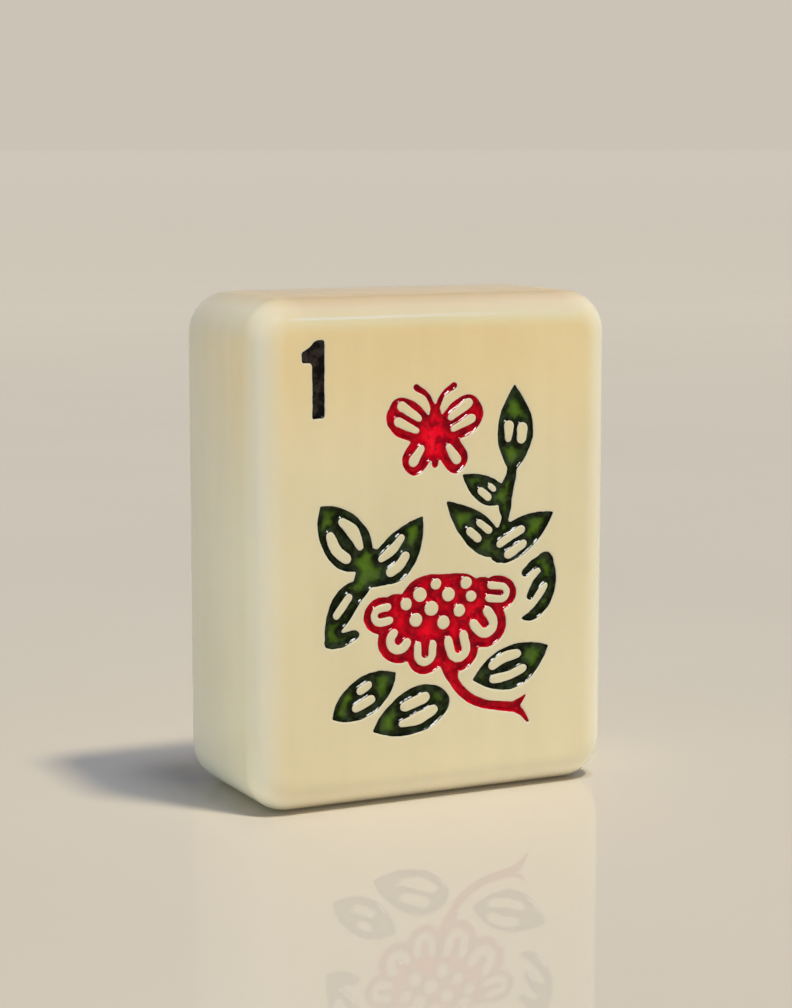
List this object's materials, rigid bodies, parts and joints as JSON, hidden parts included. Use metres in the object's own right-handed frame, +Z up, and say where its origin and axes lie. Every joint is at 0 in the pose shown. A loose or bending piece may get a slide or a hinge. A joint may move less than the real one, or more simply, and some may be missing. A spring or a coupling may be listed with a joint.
{
  "type": "mahjong tile",
  "caption": "Cream plastic mahjong tile with rounded edges, its face engraved with a numeral, a butterfly and a flower among leaves, filled with black, red and green enamel.",
  "frame": {"origin": "middle of the bottom end, on the surface that the tile stands on", "axes": "+Z up along the height, the engraved face looks along -Y, +X to the right seen from the face"},
  "size_m": [0.0234, 0.0116, 0.03],
  "materials": {
    "cream_plastic": "polished cream plastic, hand worn",
    "black_enamel": "glossy enamel paint",
    "red_enamel": "glossy enamel paint",
    "green_enamel": "glossy enamel paint"
  },
  "bodies": {
    "root": {"tile_body": "cream_plastic", "numeral_inlay": "black_enamel", "butterfly_inlay": "red_enamel", "flower_inlay": "red_enamel", "right_sprig_inlay": "green_enamel", "left_sprig_inlay": "green_enamel", "curled_leaf_inlay": "green_enamel", "low_left_leaf_inlay": "green_enamel", "low_middle_leaf_inlay": "green_enamel", "low_right_leaf_inlay": "green_enamel"}
  },
  "joints": []
}
